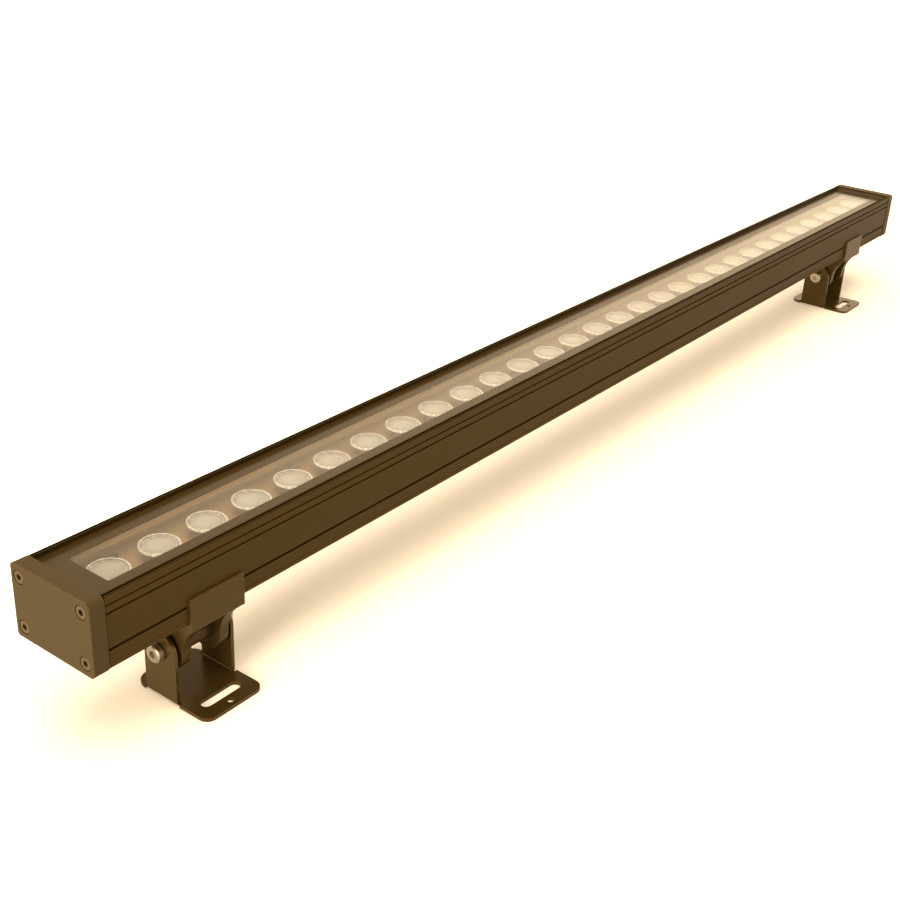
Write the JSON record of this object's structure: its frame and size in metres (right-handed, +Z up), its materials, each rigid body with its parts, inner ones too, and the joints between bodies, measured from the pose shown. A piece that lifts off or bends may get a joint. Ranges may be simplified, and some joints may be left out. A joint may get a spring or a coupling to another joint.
{
  "type": "outdoor wall washer light",
  "caption": "Long slim outdoor wall washer light: extruded housing, flush glass over a row of lenses, and two tilting clamp brackets that slide along side grooves.",
  "frame": {"origin": "on the floor, midway between the fixing slots of the two feet", "axes": "+X along the housing from the near end to the cable end, -Y the front, +Z up, the way the light leaves"},
  "size_m": [1.0152, 0.0713, 0.0949],
  "materials": {
    "housing_paint": "fine satin powder coat",
    "cap_paint": "fine satin powder coat",
    "bracket_paint": "fine satin powder coat",
    "fixings": "warm plated steel",
    "dark_steel": "dark spring steel",
    "window_glass": "clear toughened glass",
    "seal_rubber": "matt black",
    "board_mask": "white solder mask",
    "diode": "yellow phosphor",
    "lens_seat": "white plastic",
    "lens_clear": "clear moulded lens",
    "white_plastic": "matt white",
    "driver_metal": "plain",
    "black_plastic": "matt black",
    "lead_red": "insulation",
    "gland_metal": "plated brass"
  },
  "bodies": {
    "near_foot_set": {"near_foot": "bracket_paint", "near_pivot_bolt": "fixings", "near_lock_washer": "dark_steel", "near_nut_washer": "fixings", "near_pivot_nut": "fixings"},
    "near_hanger_set": {"near_hanger": "bracket_paint", "near_spacer": "fixings", "near_clamp_screw": "dark_steel"},
    "housing": {"profile": "housing_paint", "near_end_cap": "cap_paint", "far_end_cap": "cap_paint", "near_cap_gasket": "seal_rubber", "far_cap_gasket": "seal_rubber", "glass_seal": "seal_rubber", "driver_pads": "seal_rubber", "web_grommet": "seal_rubber", "gland_ring": "seal_rubber", "gland_seal": "seal_rubber", "near_cap_screws": "fixings", "far_cap_screws": "fixings", "board_screws": "fixings", "glass": "window_glass", "led_board_1": "board_mask", "led_board_2": "board_mask", "led_board_3": "board_mask", "leds_1": "diode", "leds_2": "diode", "leds_3": "diode", "lens_seats_1": "lens_seat", "lens_seats_2": "lens_seat", "lens_seats_3": "lens_seat", "lenses_1": "lens_clear", "lenses_2": "lens_clear", "lenses_3": "lens_clear", "board_links": "white_plastic", "terminal_block": "white_plastic", "board_plug": "white_plastic", "driver_case": "driver_metal", "driver_ends": "black_plastic", "board_leads": "lead_red", "gland_body": "gland_metal", "gland_nut": "gland_metal", "gland_lock_nut": "gland_metal"},
    "far_hanger_set": {"far_hanger": "bracket_paint", "far_spacer": "fixings", "far_clamp_screw": "dark_steel"},
    "far_foot_set": {"far_foot": "bracket_paint", "far_pivot_bolt": "fixings", "far_lock_washer": "dark_steel", "far_nut_washer": "fixings", "far_pivot_nut": "fixings"}
  },
  "joints": [
    {"name": "near_tilt", "type": "hinge", "parent": "near_foot_set", "child": "near_hanger_set", "pos_m": [-0.4165, 0.0224, 0.0297], "axis": [1, 0, 0], "range_deg": [-60, 85]},
    {"name": "near_slide", "type": "slide", "parent": "near_hanger_set", "child": "housing", "axis": [1, 0, 0], "range_m": [-0.35, 0.045]},
    {"name": "far_slide", "type": "slide", "parent": "housing", "child": "far_hanger_set", "axis": [1, 0, 0], "range_m": [-0.35, 0.05]},
    {"name": "far_tilt", "type": "hinge", "parent": "far_hanger_set", "child": "far_foot_set", "pos_m": [0.4165, 0.0224, 0.0297], "axis": [1, 0, 0], "range_deg": [-85, 60]}
  ],
  "couplings": [
    {"joint": "far_tilt", "follows": "near_tilt", "ratio": -1}
  ]
}
